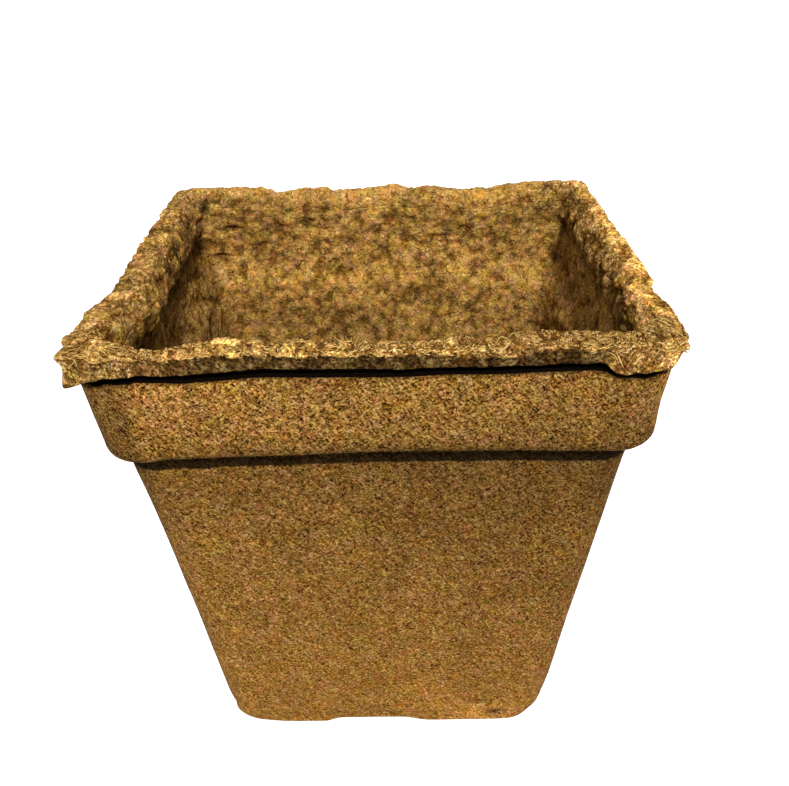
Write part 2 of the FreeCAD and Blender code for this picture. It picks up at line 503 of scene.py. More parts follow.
def shade(points):
    """How light the peat is at each point, against its mean, mostly as painted light and shade."""
    x, y, z = points.T
    wall_half, wall_flat = wall_at(z)
    on_wall = ramp(ring_place(points, wall_flat) - wall_half, -3, -1)
    outer = ramp(ring_place(points), 61, 62.5) * ramp(z, 97, 98) + ramp(z, 98, 97) * on_wall
    light = outer * outside_level(points) * lip_level(points) + (1 - outer) * inside_level(points)
    # painted shade in a hollow on the rim's top
    return light * (1 + marked(x, y, RIM_HOLLOW_SHADE) * ramp(z, 124.5, 125.5))


# Pieces

# Where below the box's sides and top points are eased, how far they still go, and how softly
SIDE_EASE, TOP_EASE = (0.35, 0.3, 0.9), (0.3, 0.27, 0.4)


def eased(distance, box, start, reach, softness):
    limit = box - start
    return np.where(distance > limit, limit + reach * np.tanh((distance - limit) / softness), distance)


def inside_box(points):
    """The points, with those near the frame's box eased back inside it."""
    x, y, z = points.T
    level = [np.sign(place) * eased(np.abs(place), BOX_HALF, *SIDE_EASE) for place in (x, y)]
    return np.stack([*level, np.maximum(eased(z, BOX_TOP, *TOP_EASE), 0)], 1)


def row_directions(rows):
    """How far outwards and how far upwards the surface looks at each row."""
    profile = np.array([(row.half, row.z) for row in rows])
    hidden = np.array([row.surface == HIDDEN for row in rows])
    strips = np.where(hidden[:, None], 0, np.roll(profile, -1, 0) - profile)
    slope_half, slope_z = (strips + np.roll(strips, 1, 0)).T
    length = np.maximum(np.hypot(slope_half, slope_z), LEAST)
    at_joint = hidden | np.roll(hidden, 1)
    outwards = np.where(at_joint, np.sign(slope_z), slope_z / length)
    upwards = np.where(at_joint, 0, -slope_half / length)
    for k, row in enumerate(rows):
        if row.facing:
            outwards[k], upwards[k] = row.facing
    return outwards, upwards


def row_points(row, outwards, upwards):
    """The points of a row round the pot, and the direction that each looks in."""
    square = ring_centres * row.flat + ring_ways * (row.half - row.flat)
    angle = np.arctan2(square[:, 1], square[:, 0])
    circle = np.stack([np.cos(angle), np.sin(angle)], 1)
    level = (1 - row.roundness) * square + row.roundness * row.half * circle
    way = unit((1 - row.roundness) * ring_ways + row.roundness * circle)
    points = np.column_stack([level, np.full(COLUMNS, row.z)])
    return points, np.column_stack([way * outwards, np.full(COLUMNS, upwards)])


def surface_grid(loop, reshape=None):
    """The surface's rows of points, what is painted on them, and each strip's surface number."""
    rows = rows_of(loop)
    found = [row_points(row, *way) for row, way in zip(rows, zip(*row_directions(rows)))]
    points, directions = (np.concatenate(part) for part in zip(*found))
    weights = np.repeat([row.weights for row in rows], COLUMNS, axis=0)
    depth, relief = roughness(points, weights)
    paint = {"relief": relief, "paleness": paleness(points), "grit": grittiness(points)}
    paint["shade"] = shade(points)
    moved = fray(points) + directions * depth[:, None]
    if reshape:
        moved = reshape(moved)
    moved = inside_box(warp(moved))
    return moved.reshape(len(rows), COLUMNS, 3), paint, [row.surface for row in rows]


def placed(name, data):
    """A new object in the scene."""
    made = bpy.data.objects.new(name, data)
    bpy.context.scene.collection.objects.link(made)
    return made


def mesh_object(name, points, faces, surfaces, smooth, materials):
    mesh = bpy.data.meshes.new(name)
    mesh.from_pydata((points * MM).tolist(), [], faces.tolist())
    mesh.polygons.foreach_set("material_index", np.asarray(surfaces, np.int32))
    mesh.polygons.foreach_set("use_smooth", np.asarray(smooth, bool))
    mesh.update()
    for material in materials:
        mesh.materials.append(material)
    return placed(name, mesh)


def ring_piece(name, node, slot, grid, paint, surfaces):
    """A closed piece from a grid whose rows and columns both come round."""
    row_count, count = grid.shape[:2]
    here = np.arange(row_count * count).reshape(row_count, count)
    across, up = np.roll(here, -1, 1), np.roll(here, -1, 0)
    faces = np.stack([here, across, np.roll(up, -1, 1), up], 2).reshape(-1, 4)
    strip = np.repeat(surfaces, count)
    smooth = strip != HIDDEN
    piece = mesh_object(name, grid.reshape(-1, 3), faces, np.maximum(strip, 0), smooth, surface_materials)
    for layer, values in paint.items():
        attribute = piece.data.attributes.new(layer, "FLOAT", "POINT")
        attribute.data.foreach_set("value", values.astype(np.float32))
    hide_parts(node)
    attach(piece, "root")


# The four zones of the moulding

# Row spacing on the lip and on the inner faces of the collar and the walls
LIP_STEP, COLLAR_STEP, WALL_STEP = 0.36, 0.55, 0.72
NECK_TOP = Station(LIP_UNDERSIDE, NECK_HALF, COLLAR_TOP_FLAT, NONE, GROOVE, 0.6)
MOUTH_FOOT = Station(LIP_UNDERSIDE, 60.2, 53.5, IN, INSIDE, 0.6, 0, (-1, 0))
LEDGE_CREASE = Station(COLLAR_LOW, WALL_TOP_HALF - 0.5, WALL_TOP_FLAT, NONE, GROOVE, 0.9)
INNER_LEDGE = Station(COLLAR_LOW, 56.6, 50.3, IN, INSIDE, 0.7, 0, (-0.8, 0.6))
# Behind the inner ledge the joint runs straight into the wall, hidden below the crumbs
TUCK = Station(COLLAR_LOW - 1, 57.9, WALL_TOP_FLAT, NONE, HIDDEN, 1, 0)
WALL_FOOT = Station(FLOOR_TOP, *wall_at(FLOOR_TOP), OUT, OUTSIDE, 0.9, 0, (0.989, -0.147))
COVE_FOOT = Station(FLOOR_TOP, wall_at(FLOOR_TOP, 8)[0], wall_at(FLOOR_TOP)[1] - 0.6, IN, INSIDE, 1.2)


def arc(middle_half, middle_z, radius, start, end, parts, flat, weights, surface, step):
    """Stations on part of a circle in the pot's profile, between two angles in degrees."""
    stations = []
    for k in range(parts + 1):
        angle = math.radians(start + (end - start) * k / parts)
        z, half = middle_z + radius * math.sin(angle), middle_half + radius * math.cos(angle)
        stations.append(Station(z, half, flat, weights, surface, step))
    return stations


# The lip from the groove to the mouth: height, half width, and shares of the inside's and the lip's roughness
LIP_PROFILE = (
    (121.9, 63, 0, 0), (122.1, 63.7, 0, 0.1), (122.35, 64.1, 0, 0.25), (123.4, 64.5, 0, 0.4),
    (124.7, 65, 0, 0.5), (125.4, 65.5, 0, 0.8), (125.8, 66, 0, 1), (126.2, 66.3, 0, 1),
    (126.6, 66.2, 0, 1), (126.85, 65.5, 0, 1), (126.9, 64.6, 0, 1), (126.85, 63.6, 0, 1),
    (126.6, 62.5, 0, 1), (126.1, 61.5, 0, 1),
    (125.3, 60.8, 0.2, 0.8), (124.2, 60.4, 0.5, 0.5), (122.9, 60.2, 0.8, 0.2),
)
# Below this height the lip's outer face belongs to the groove, painted near black as shadow
LIP_GROOVE_TOP = 122.3


def lip_loop():
    loop = [NECK_TOP]
    for z, half, inner, frayed in LIP_PROFILE:
        surface = GROOVE if z < LIP_GROOVE_TOP else INSIDE
        loop.append(Station(z, half, LIP_FLAT, (0, inner, frayed), surface, LIP_STEP))
    return loop + [MOUTH_FOOT._replace(surface=HIDDEN)]


def collar_loop():
    low_half, low_flat = collar_at(COLLAR_LOW)
    # the groove's painted black shadow covers the ledge's underside and the shoulder under the lip
    loop = [LEDGE_CREASE._replace(step=0.7)]
    loop.append(Station(COLLAR_LOW + 0.5, WALL_TOP_HALF, WALL_TOP_FLAT, NONE, GROOVE, 0.6))
    loop.append(Station(COLLAR_LOW + 0.3, WALL_TOP_HALF + 0.7, low_flat, (0.5, 0, 0), OUTSIDE, 0.6))
    rounding = 3.2
    middle_half, middle_z = low_half - rounding, COLLAR_LOW + rounding
    loop += arc(middle_half, middle_z, rounding, -78, 0, 6, low_flat, OUT, OUTSIDE, 0.9)
    loop[-1] = loop[-1]._replace(step=1.6)
    shoulder = 0.9
    middle_half, middle_z, soft = COLLAR_TOP_HALF - shoulder, COLLAR_TOP - shoulder, (0.6, 0, 0)
    loop += arc(middle_half, middle_z, shoulder, 0, 90, 3, COLLAR_TOP_FLAT, soft, OUTSIDE, 0.8)
    loop[-1] = loop[-1]._replace(surface=GROOVE, weights=(0.3, 0, 0))
    loop.append(Station(COLLAR_TOP, NECK_HALF, COLLAR_TOP_FLAT, NONE, GROOVE, 0.8))
    loop.append(NECK_TOP._replace(surface=HIDDEN))
    loop.append(MOUTH_FOOT)
    for z, half in ((116, 60), (110, 59.5), (104, 58.9), (101.6, 58.5), (99.8, 57.6)):
        loop.append(Station(z, half, collar_at(z)[1], IN, INSIDE, COLLAR_STEP))
    return loop + [INNER_LEDGE._replace(surface=HIDDEN), TUCK]


def side_walls_loop():
    loop = [WALL_FOOT]
    for z, step in ((10, 2.2), (93.8, 0.3)):
        loop.append(Station(z, *wall_at(z), OUT, OUTSIDE, step))
    for z, drawn_in in ((95.6, 0), (96.8, 0.1), (97.8, 0.3)):
        half, flat = wall_at(z, drawn_in)
        loop.append(Station(z, half, flat, (0.4, 0, 0), OUTSIDE, 0.5))
    loop += [LEDGE_CREASE._replace(surface=HIDDEN), TUCK, INNER_LEDGE]
    for z, half, flat in ((96.8, 55.5, 49.4), (95, 54.7, 48.9)):
        loop.append(Station(z, half, flat, IN, INSIDE, WALL_STEP))
    half, flat = wall_at(9, WALL)
    for z, drawn_in, shorter in ((9, 0, 0), (6, 1.6, 0.6)):
        loop.append(Station(z, half - drawn_in, flat - shorter, IN, INSIDE, WALL_STEP))
    loop.append(COVE_FOOT._replace(surface=HIDDEN))
    return loop


def base_loop():
    rounding = 1.1
    half, flat = wall_at(0)
    loop = [WALL_FOOT._replace(surface=HIDDEN), COVE_FOOT._replace(surface=INSIDE)]
    loop += [Station(*row) for row in (
        (FLOOR_TOP - 0.3, 24, 20, IN, INSIDE, 1.3, 0.2),
        (FLOOR_TOP - 0.2, DRAIN_RADIUS + 0.6, 4, (0, 0.3, 0), INSIDE, 1.3, 1),
        (FLOOR_TOP - 0.8, DRAIN_RADIUS, 3.5, (0, 0.1, 0), INSIDE, 1, 1),
        (0.4, DRAIN_RADIUS, 3.5, NONE, OUTSIDE, 1, 1),
        (0, DRAIN_RADIUS + 0.4, 4, NONE, OUTSIDE, 1.3, 1),
        (0, 24, 19, NONE, OUTSIDE, 1.3, 0.2),
    )]
    loop += arc(half - rounding, rounding, rounding, -90, 0, 4, flat, (0.4, 0, 0), OUTSIDE, 0.9)
    return loop[1:] + loop[:1]


def shape_lip(points):
    """The lip's front corners grown squarer and into lumps, which close the groove there."""
    x, y, z = points.T
    left, right = corner_lumps(points)
    outer = ramp(ring_place(points), 60.5, 63.5)
    beyond = np.maximum(np.abs(points[:, :2]) - LIP_FLAT, 0)
    corner = np.hypot(*beyond.T) / np.maximum(beyond.max(axis=1), 1e-6)
    top = ramp(z, 125.2, 126.6)
    squarer = np.maximum(corner - 1, 0) * (0.58 * left + 0.45 * right) * outer
    swell = (left * (0.9 + 1.2 * ramp(z, 124.2, 122.6)) + 0.7 * right) * outer * (1 - top)
    out_x = beyond[:, 0] * squarer + swell * ramp(np.abs(x), 55, 61)
    out_y = beyond[:, 1] * squarer + swell * ramp(y, -55, -61)
    hang = through(x, FRONT_HANG) * ramp(y, -46, -58) * ramp(z, 125, 122.4)
    return np.stack([x + np.sign(x) * out_x, y - out_y, z - hang], 1)


def shape_base(points):
    """The channels under the base, and its two worn front corners."""
    x, y, z = points.T
    front = ramp(y, -20, -40)
    channel_x = front * ramp(x, -18, -12.5) * ramp(x, 12.5, 4) + (1 - front) * ramp(np.abs(x), 14.5, 12)
    channel = np.maximum(channel_x, ramp(np.abs(y), 14.5, 12))
    lift = 1.5 * channel + 1.6 * spot(x, y, WORN_CORNER, 6) + 1.5 * spot(x, y, (-40, -44), 7.5)
    return np.stack([x, y, z + np.maximum(lift * (1 - z / FLOOR_TOP), 0)], 1)


# Materials

def srgb(*levels):
    """A display colour in 0 to 255 as linear light."""
    linear = [(v / 255 / 12.92) if v < 10.3 else ((v / 255 + 0.055) / 1.055) ** 2.4 for v in levels]
    return (*linear, 1)


class Graph:
    """A material's nodes, made one at a time."""

    def __init__(self, name):
        self.material = bpy.data.materials.new(name)
        self.material.use_nodes = True
        self.tree = self.material.node_tree
        self.tree.nodes.clear()

    def node(self, kind, inputs=(), **settings):
        """The outputs of a new node, each of whose inputs is linked or set to a value."""
        made = self.tree.nodes.new("ShaderNode" + kind)
        for key, value in settings.items():
            setattr(made, key, value)
        for key, value in dict(inputs).items():
            if isinstance(value, bpy.types.NodeSocket):
                self.tree.links.new(value, made.inputs[key])
            else:
                made.inputs[key].default_value = value
        return made.outputs

    def math(self, operation, *values):
        return self.node("Math", enumerate(values), operation=operation)[0]

    def times(self, first, second):
        return self.math("MULTIPLY", first, second)

    def weighted(self, *parts):
        """The sum of a few values, each times its own number."""
        total = 0
        for value, share in parts:
            total = self.math("MULTIPLY_ADD", value, share, total)
        return total

    def noise(self, *values, output="Fac"):
        """A noise from its place, scale, detail, roughness and distortion."""
        names = ("Vector", "Scale", "Detail", "Roughness", "Distortion")
        return self.node("TexNoise", zip(names, values))[output]

    def wobble(self, place, scale):
        return self.noise(place, scale, 1, output="Color")

    def cells(self, place, scale, feature="F1"):
        return self.node("TexVoronoi", {"Vector": place, "Scale": scale}, feature=feature)

    def band(self, *values):
        """A value between two limits as 0 to 1, or as the two last values."""
        return self.node("MapRange", enumerate(values))[0]

    def ramp(self, value, stops):
        colour = self.node("ValToRGB", {0: value})[0]
        elements = colour.node.color_ramp.elements
        while len(elements) < len(stops):
            elements.new(0.5)
        for element, (position, stop_colour) in zip(elements, stops):
            element.position = position
            element.color = stop_colour
        return colour

    def mix(self, share, first, second, blend="MIX"):
        inputs = {0: share, 6: first, 7: second}
        return self.node("Mix", inputs, data_type="RGBA", blend_type=blend)[2]

    def tinted(self, colour, *tint):
        return self.mix(1, colour, (*tint, 1), "MULTIPLY")

    def scaled(self, vector, level):
        return self.node("VectorMath", {0: vector, 3: level}, operation="SCALE")[0]

    def moved(self, place, way):
        return self.node("VectorMath", {0: place, 1: way}, operation="ADD")[0]

    def painted(self, layer):
        return self.node("Attribute", attribute_name=layer)["Fac"]

    def millimetres(self):
        return self.scaled(self.node("TexCoord")["Object"], 1 / MM)

    def fibre_place(self, place, tilt, length, width, shift):
        """The place turned to a tilt and measured in fibres of this length and width."""
        inputs = {0: place, 1: shift, 2: (0, math.radians(tilt), 0)}
        turned = self.node("Mapping", inputs)[0]
        return self.node("Mapping", {0: turned, 3: (1 / length, 1 / width, 1 / width)})[0]

    def along(self, place):
        """The place as (along the side, across it, height), for each of the four sides."""
        x, y, z = self.node("SeparateXYZ", {0: place})
        turned = self.math("GREATER_THAN", self.math("ABSOLUTE", x), self.math("ABSOLUTE", y))
        first = self.math("ADD", x, self.times(turned, self.math("SUBTRACT", y, x)))
        second = self.math("ADD", y, self.times(turned, self.math("SUBTRACT", x, y)))
        return self.node("CombineXYZ", {0: first, 1: second, 2: z})[0]

    def shaded(self, inputs):
        """The finished material, as one shader."""
        self.node("OutputMaterial", {0: self.node("BsdfPrincipled", inputs)[0]})
        return self.material

    def finish(self, colour, height, depth, roughness=0.97, specular=0.03):
        """The finished material, in a colour, with a bump this many millimetres deep."""
        normal = self.node("Bump", {"Strength": 1, "Distance": depth * MM, "Height": height})[0]
        surface = {"Base Color": colour, "Roughness": roughness, "Specular IOR Level": specular}
        return self.shaded({**surface, "Normal": normal})


# The peat's own colour against the photograph's, which the scene's light raises again
ALBEDO = (0.69, 0.655, 0.545)
# Display colours, from the darkest grains to the palest chips
PEAT_TONES = (
    (26, 10, 1), (89, 53, 8), (119, 81, 31), (134, 94, 43), (148, 108, 55), (171, 131, 74), (205, 165, 106),
)
LOOSE_TONES = (
    (74, 42, 8), (119, 81, 31), (142, 103, 49), (152, 113, 57), (163, 124, 67), (188, 149, 90),
    (225, 188, 125),
)
STOPS = (0, 0.16, 0.36, 0.5, 0.62, 0.8, 1)
SPECK = (24, 12, 4)
# Patches that lean to one tint and to another: size, the two tints, and a shift of the pattern
PATCHES = (
    (3, (1.1, 0.9, 0.95), (0.915, 1.065, 0.915), (0, 0, 0)),
    (3.6, (1, 1, 0.62), (1, 0.99, 1.45), (31, 17, 5)),
)
# The inner faces throw redder light on each other than in the photograph, and this makes up for it
INSIDE_TINT = (0.98, 1.06, 1.22)
STRAND_WIDTH = 0.22


def tone(*levels):
    return (*[share * level for share, level in zip(ALBEDO, srgb(*levels))], 1)


def chips(graph, place, tilt, length, width, seed):
    """Flat chips of fibre at one tilt, each with its own random number."""
    fitted = graph.fibre_place(place, tilt, length, width, (seed * 5.3, 0, seed * 9.1))
    bent = graph.moved(fitted, graph.scaled(graph.wobble(fitted, 1.7), 0.7))
    return graph.node("SeparateColor", {0: graph.cells(bent, 1)["Color"]})[0]


def light_strands(graph, side, tilts, length, low, high, first_seed=0):
    """Fine strands at a few tilts to the level: 1 on a strand and 0 between them."""
    light = 0
    for seed, tilt in enumerate(tilts, first_seed):
        fitted = graph.fibre_place(side, tilt, length, STRAND_WIDTH, (seed * 7.1, 0, seed * 3.7))
        found = graph.band(graph.noise(fitted, 1, 1, 0.5, 0.4), low, high)
        light = graph.math("MAXIMUM", light, found)
    return light


def dark_specks(graph, place, size, low, high):
    """Dark specks in loose swarms: 1 in a speck."""
    specks = graph.noise(place, 1 / size, 1, 0.5)
    swarm = graph.band(graph.noise(place, 0.2 / size, 1), 0.35, 0.6, 0.25, 1)
    return graph.times(graph.band(specks, high, low), swarm)


def cloudy(graph, place, scale, detail, rough, low, high):
    """Levels that change slowly over the surface, from low to high."""
    return graph.band(graph.noise(place, scale, detail, rough), 0.3, 0.7, low, high)


def peat_colour(graph, place, side, tones, grain_size, contrast, rough, stretch):
    """Peat as grain and chips in several tones, with patches of other tints, and its relief."""
    grain = graph.noise(place, 1 / grain_size, 3, rough)
    first = chips(graph, side, 25, 1.5 * stretch * grain_size, 0.8 * grain_size, 1)
    second = chips(graph, side, -50, 2.4 * stretch * grain_size, 0.9 * grain_size, 2)
    value = graph.weighted((grain, 1.1), (first, 0.25), (second, 0.25))
    value = graph.math("ADD", graph.times(graph.math("SUBTRACT", value, 0.8), contrast), 0.5)
    colour = graph.ramp(value, [(position, tone(*levels)) for position, levels in zip(STOPS, tones)])
    for size, first_tint, second_tint, shift in PATCHES:
        level = graph.noise(graph.moved(place, shift), 1 / size, 3, 0.6)
        first_patch, second_patch = graph.tinted(colour, *first_tint), graph.tinted(colour, *second_tint)
        colour = graph.mix(graph.band(level, 0.5, 0.68), colour, first_patch)
        colour = graph.mix(graph.band(level, 0.5, 0.32), colour, second_patch)
    return colour, graph.weighted((grain, 1), (first, 0.3), (second, 0.2))


def outside_material():
    """The pressed outside, whose grain is sharpest on the collar and softens towards the base."""
    graph = Graph("pressed_peat_outside")
    place = graph.millimetres()
    side = graph.along(place)
    height_above = graph.node("SeparateXYZ", {0: place})[2]
    sharp = graph.band(height_above, 10, 100, 0.5, 1)
    softer = graph.band(height_above, 10, 80, 0.7, 1)
    contrast = graph.times(graph.band(height_above, 92, 100, 1.95, 2.35), softer)
    rough = graph.band(height_above, 30, 100, 0.38, 0.7)
    colour, relief = peat_colour(graph, place, side, PEAT_TONES, 0.48, contrast, rough, 1)
    light = graph.times(light_strands(graph, side, (12, -34, 78, -68), 2, 0.66, 0.71), sharp)
    colour = graph.mix(graph.times(light, 0.5), colour, tone(206, 168, 100))
    dark = graph.times(dark_specks(graph, place, 0.5, 0.33, 0.39), sharp)
    colour = graph.mix(graph.times(dark, 0.85), colour, tone(*SPECK))
    cloud = cloudy(graph, place, 0.06, 3, 0.6, 0.84, 1.16)
    # the painted light and shade is laid over the outside's colour
    colour = graph.scaled(colour, graph.times(cloud, graph.painted("shade")))
    height = graph.weighted((graph.times(relief, sharp), 1), (light, 0.3), (dark, -0.7))
    return graph.finish(colour, height, 0.22)


def crevices(graph, place):
    """Lines between the crumbs, here and there: painted shade in the colour, and dents in the bump."""
    bent = graph.moved(place, graph.wobble(place, 1.1))
    rim = graph.cells(bent, 0.62, "DISTANCE_TO_EDGE")["Distance"]
    return graph.times(graph.band(rim, 0.12, 0.02), graph.band(graph.noise(place, 0.35, 1), 0.42, 0.58))


def inside_material():
    """The inner face and the lip, pale and fibrous where it has frayed."""
    graph = Graph("loose_peat")
    place = graph.node("Mapping", {0: graph.millimetres(), 3: tuple(GRAIN_ALONG_Y)})[0]
    side = graph.along(place)
    grit = graph.painted("grit")
    contrast, rough = graph.band(grit, 0, 1, 0.8, 3.2), graph.band(grit, 0, 1, 0.42, 0.6)
    colour, relief = peat_colour(graph, place, side, LOOSE_TONES, 0.62, contrast, rough, 0.8)
    colour = graph.mix(graph.band(grit, 0, 1, 1, 0.2), colour, graph.tinted(colour, *INSIDE_TINT))
    # painted light: the inner faces are raised well above the outside's peat, and more where the fibre is
    # paler
    colour = graph.scaled(colour, graph.band(graph.painted("paleness"), 0, 1, 2.65, 3.15))
    light = light_strands(graph, side, (4, 30, -28, 75), 2.2, 0.6, 0.66, 5)
    colour = graph.mix(graph.times(light, graph.band(grit, 0, 1, 0, 0.6)), colour, tone(255, 228, 165))
    # painted shade darkens pits and crevices, and a painted highlight lightens crests
    crumb, small = (graph.cells(place, scale)["Distance"] for scale in (0.75, 1.7))
    crevice = crevices(graph, place)
    level = graph.weighted((graph.painted("relief"), 1), (crumb, -0.35), (small, -0.2))
    deep, gritty_pit = graph.band(level, -0.35, -0.85), graph.times(grit, graph.band(level, 0, -0.4))
    pit_shade = graph.weighted((deep, 0.75), (crevice, 0.45), (gritty_pit, 0.8))
    colour = graph.mix(graph.math("MINIMUM", pit_shade, 1), colour, graph.tinted(colour, 0.3, 0.24, 0.16))
    crest = graph.scaled(colour, graph.band(grit, 0, 1, 1.35, 1.08))
    colour = graph.mix(graph.band(level, -0.3, 0.3), colour, crest)
    dark = dark_specks(graph, place, 0.7, 0.32, 0.38)
    colour = graph.mix(graph.times(dark, 0.7), colour, tone(*SPECK))
    mottle = cloudy(graph, place, 0.5, 2, 0.6, 0.8, 1.22)
    cloud = cloudy(graph, place, 0.09, 2, 0.5, 0.82, 1.18)
    # mottle and cloud are the peat's own tone, and the painted light and shade is laid over them
    colour = graph.scaled(colour, graph.times(graph.times(mottle, cloud), graph.painted("shade")))
    marks = (crumb, -0.6), (small, -0.35), (light, 0.2), (dark, -0.5), (crevice, -0.5)
    return graph.finish(colour, graph.weighted((relief, 0.35), *marks), 0.5)


def groove_material():
    """The peat in the groove and under the collar, painted near black as deep shadow."""
    graph = Graph("painted_shadow_peat")
    grain = graph.noise(graph.millimetres(), 1.4, 3, 0.6)
    colour = graph.ramp(grain, [(0.3, srgb(6, 4, 3)), (0.7, srgb(24, 16, 8))])
    return graph.finish(colour, grain, 0.3)


def fibre_material():
    """Loose fibres, each in its own tone, with darker stretches."""
    graph = Graph("loose_fibre")
    island = graph.node("NewGeometry")["Random Per Island"]
    tones = ((0, (62, 32, 4)), (0.3, (158, 112, 44)), (0.6, (212, 168, 90)), (1, (240, 204, 130)))
    colour = graph.ramp(island, [(position, srgb(*levels)) for position, levels in tones])
    grain = graph.noise(graph.millimetres(), 2.2, 2, 0.6)
    darker = graph.tinted(colour, 0.5, 0.45, 0.4)
    colour = graph.mix(graph.band(grain, 0.35, 0.6, 0.45, 0), colour, darker)
    return graph.finish(colour, grain, 0.08, 0.85, 0.08)


surface_materials = [outside_material(), inside_material(), groove_material()]
fibre = fibre_material()


# The pieces of the pot

lip_grid, lip_paint, lip_surfaces = surface_grid(lip_loop(), shape_lip)
ring_piece("frayed_lip", "lip", "frayed_peat", lip_grid, lip_paint, lip_surfaces)
for piece_name, node_name, loop, reshape in (
    ("collar_band", "collar", collar_loop(), None),
    ("wall_sleeve", "side_walls", side_walls_loop(), None),
    ("footed_floor", "base", base_loop(), shape_base),
):
    ring_piece(piece_name, node_name, "pressed_peat", *surface_grid(loop, reshape))


# Loose fibres on the lip

FIBRE_STEPS = 6
FIBRE_SIDES = 3
FIBRE_TAPER = (0.35, 0.8, 1, 1, 0.75, 0.25)
# Fibres lie together in locks of this size, which turn this much from one to the next
LOCK_SIZE, LOCK_TURN = (6, 3, 1), 2
# How much fibres curl, and how far off the skin and the box they stay
FIBRE_CURL, FIBRE_CLEAR, BOX_CLEAR = 0.25, 0.03, 0.02
# A direction that no fibre follows exactly
ASKEW = (0.3, 0.2, 1)


def lip_skin():
    """The rows of the lip's grid that carry fibres, and where they look."""
    carrying = [k for k, surface in enumerate(lip_surfaces) if surface == INSIDE]
    first, last = carrying[0], carrying[-1] + 2
    along, up = (np.roll(lip_grid, -2, axis) - np.roll(lip_grid, 2, axis) for axis in (1, 0))
    return lip_grid[first:last], unit(np.cross(along, up)[first:last])


skin, skin_normal = lip_skin()
skin_rows, skin_columns = skin.shape[:2]
# A ring of the lip is this much longer than a circle of its half width
RING_SHARE = 1.22
ROW_PITCH = 0.34
COLUMN_PITCH = 2 * math.pi * BOX_HALF * RING_SHARE / skin_columns


def skin_at(column, row):
    """Place and outward direction on the lip's skin, for fractional columns and rows."""
    row = np.clip(row, 0, skin_rows - 1.001)
    low_row, low_column = np.floor(row).astype(int), np.floor(column).astype(int)
    row_share, column_share = (row - low_row)[..., None], (column - low_column)[..., None]
    found = []
    for grid in (skin, skin_normal):
        corners = [grid[low_row + i, (low_column + j) % skin_columns] for i in (0, 1) for j in (0, 1)]
        low = corners[0] * (1 - column_share) + corners[1] * column_share
        high = corners[2] * (1 - column_share) + corners[3] * column_share
        found.append(low * (1 - row_share) + high * row_share)
    return found


# Number of fibres, the rows that they start on as shares of the skin, lengths, radii, direction and its
# spread in degrees, how high they arch, the share whose end stands free, and how far it does
Lay = namedtuple("Lay", "count rows lengths radii tilt spread loft free lift", defaults=((0.3, 1.2),))


def fibre_paths(random, lay, start, end):
    """Paths of loose fibres, in locks that share a direction, as (fibre, step, axis)."""
    column = random.uniform(start, end, lay.count)
    row = random.uniform(*lay.rows, lay.count) * (skin_rows - 1)
    length = random.uniform(*lay.lengths, lay.count)
    lock = np.stack([column * COLUMN_PITCH, row * ROW_PITCH, np.zeros(lay.count)], 1)
    angle = math.radians(lay.tilt) + LOCK_TURN * noise(lock, LOCK_SIZE, 21)
    angle += random.normal(0, math.radians(lay.spread), lay.count)
    curl = random.normal(0, FIBRE_CURL, lay.count)
    step = length / (FIBRE_STEPS - 1)
    columns, rows = [column], [row]
    for _ in range(FIBRE_STEPS - 1):
        angle = angle + curl * step
        columns.append(columns[-1] + np.cos(angle) * step / COLUMN_PITCH)
        rows.append(rows[-1] + np.sin(angle) * step / ROW_PITCH)
    place, normal = skin_at(np.stack(columns, 1), np.stack(rows, 1))
    share = np.linspace(0, 1, FIBRE_STEPS)
    loft = lay.loft * random.random(lay.count) ** 1.5
    free = (random.random(lay.count) < lay.free) * random.uniform(*lay.lift, lay.count)
    rise = FIBRE_CLEAR + loft[:, None] * np.sin(math.pi * share) + free[:, None] * share ** 2
    return place + normal * rise[..., None]


def tube_faces():
    """The triangles of one closed fibre, whose points lie in rings of FIBRE_SIDES."""
    faces = []
    for step in range(FIBRE_STEPS - 1):
        for k in range(FIBRE_SIDES):
            a, b = step * FIBRE_SIDES + k, step * FIBRE_SIDES + (k + 1) % FIBRE_SIDES
            faces += [(a, b, b + FIBRE_SIDES), (a, b + FIBRE_SIDES, a + FIBRE_SIDES)]
    last = (FIBRE_STEPS - 1) * FIBRE_SIDES
    return np.array(faces + [(2, 1, 0), (last, last + 1, last + 2)])


def fibre_piece(name, seed, lay, start, end):
    """One piece of loose fibres, laid between two columns of the lip's grid."""
    random = np.random.default_rng(seed)
    path = fibre_paths(random, lay, start, end)
    radius = random.uniform(*lay.radii, lay.count)[:, None] * np.array(FIBRE_TAPER)
    edge = lay.radii[1] + BOX_CLEAR
    path[..., :2] = np.clip(path[..., :2], -BOX_HALF + edge, BOX_HALF - edge)
    path[..., 2] = np.minimum(path[..., 2], BOX_TOP - edge)
    heading = unit(np.gradient(path, axis=1))
    side = unit(np.cross(heading, ASKEW))
    up = np.cross(side, heading)
    turns = np.arange(FIBRE_SIDES) * 2 * math.pi / FIBRE_SIDES
    ring = side[:, :, None] * np.cos(turns)[:, None] + up[:, :, None] * np.sin(turns)[:, None]
    points = (path[:, :, None] + ring * radius[:, :, None, None]).reshape(-1, 3)
    first_points = FIBRE_STEPS * FIBRE_SIDES * np.arange(lay.count)
    faces = (tube_faces()[None] + first_points[:, None, None]).reshape(-1, 3)
    piece = mesh_object(name, points, faces, np.zeros(len(faces)), np.ones(len(faces)), [fibre])
    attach(piece, "root")


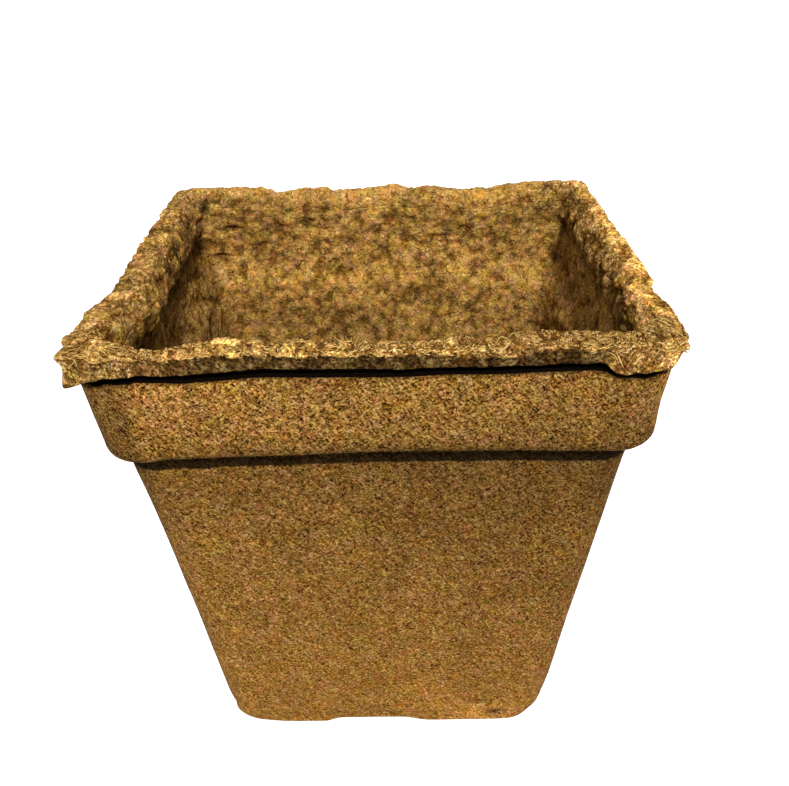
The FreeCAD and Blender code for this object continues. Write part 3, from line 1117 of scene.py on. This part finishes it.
side_columns = skin_columns / 4
corner_columns = side_columns * CORNER_SHARE
front_start = 3 * side_columns
tuft_place = front_start + 0.38 * side_columns
FIRST_FIBRE_SEED = 31
FIBRES = (
    ("fibres_right", -corner_columns, side_columns,
     Lay(260, (0.3, 0.7), (0.7, 1.8), (0.07, 0.16), 60, 60, 0.15, 0.1)),
    ("fibres_back", side_columns, 2 * side_columns,
     Lay(50, (0.35, 0.7), (0.7, 1.4), (0.06, 0.12), 20, 60, 0.1, 0.1)),
    ("fibres_left", 2 * side_columns, front_start,
     Lay(90, (0.3, 0.7), (0.7, 1.6), (0.06, 0.14), 10, 70, 0.15, 0.2)),
    ("fibres_front", front_start, 4 * side_columns,
     Lay(2600, (0.22, 0.7), (0.5, 1.5), (0.09, 0.23), 0, 75, 0.14, 0)),
    ("locks_left", front_start - corner_columns, front_start,
     Lay(260, (0.2, 0.7), (1.2, 4), (0.07, 0.18), 5, 30, 0.3, 0.02)),
    ("locks_right", -1.5 * corner_columns, 0,
     Lay(420, (0.12, 0.7), (0.8, 3), (0.08, 0.22), 30, 35, 0.25, 0.04)),
    ("tuft", tuft_place - 6, tuft_place + 6,
     Lay(50, (0.6, 0.68), (1.2, 2.6), (0.08, 0.16), 80, 30, 0.2, 1, (1.2, 3))),
)
for seed, (fibre_name, start, end, lay) in enumerate(FIBRES, FIRST_FIBRE_SEED):
    fibre_piece(fibre_name, seed, lay, start, end)


# Floor, light and camera

FLOOR_REACH = 8000
FLOOR_DROP = 0.2
WORLD_STRENGTH = 0.4
SUN_STRENGTH = 3.1
# In degrees
SUN_WIDTH, SUN_ELEVATION, SUN_SIDE = 8, 46, 9
# The camera fitted to the photograph: its right, up and backward directions and its place, an axis a row
CAMERA_ROWS = (
    (0.99973, 0.01787, 0.01495, 7.74),
    (0.00521, 0.45388, -0.89105, -237.25),
    (-0.02271, 0.89088, 0.45367, 203.68),
)
CAMERA_LENS, SENSOR_WIDTH, CAMERA_CLEAR = 42.17, 36, 10


def make_floor():
    """A pale floor just below the pot, which the photograph's camera sees as white."""
    mesh = bpy.data.meshes.new("studio_floor")
    reach = FLOOR_REACH * MM
    corners = [(-reach, -reach, 0), (reach, -reach, 0), (reach, reach, 0), (-reach, reach, 0)]
    mesh.from_pydata(corners, [], [range(4)])
    floor = placed("studio_floor", mesh)
    floor.location.z = -FLOOR_DROP * MM
    look = {"Base Color": (0.94, 0.94, 0.94, 1), "Roughness": 0.9, "Specular IOR Level": 0}
    glow = {"Emission Color": (1, 1, 1, 1), "Emission Strength": 0.5}
    mesh.materials.append(Graph("pale_floor").shaded({**look, **glow}))


def make_world():
    world = bpy.data.worlds.new("studio")
    world.use_nodes = True
    background = world.node_tree.nodes["Background"]
    background.inputs[0].default_value = (1, 1, 1, 1)
    background.inputs[1].default_value = WORLD_STRENGTH
    bpy.context.scene.world = world


def make_sun():
    light = bpy.data.lights.new("key", "SUN")
    light.energy = SUN_STRENGTH
    light.angle = math.radians(SUN_WIDTH)
    placed("key", light).rotation_euler = (math.radians(90 - SUN_ELEVATION), 0, math.radians(SUN_SIDE))


def make_camera():
    lens = bpy.data.cameras.new("camera")
    lens.lens = CAMERA_LENS
    lens.sensor_width = SENSOR_WIDTH
    lens.sensor_fit = "HORIZONTAL"
    lens.clip_start = CAMERA_CLEAR * MM
    camera = placed("camera", lens)
    camera.matrix_world = Matrix([(*ways, place * MM) for *ways, place in CAMERA_ROWS] + [(0, 0, 0, 1)])
    bpy.context.scene.camera = camera


make_floor()
make_world()
make_sun()
make_camera()
bpy.context.scene.view_settings.view_transform = "Standard"
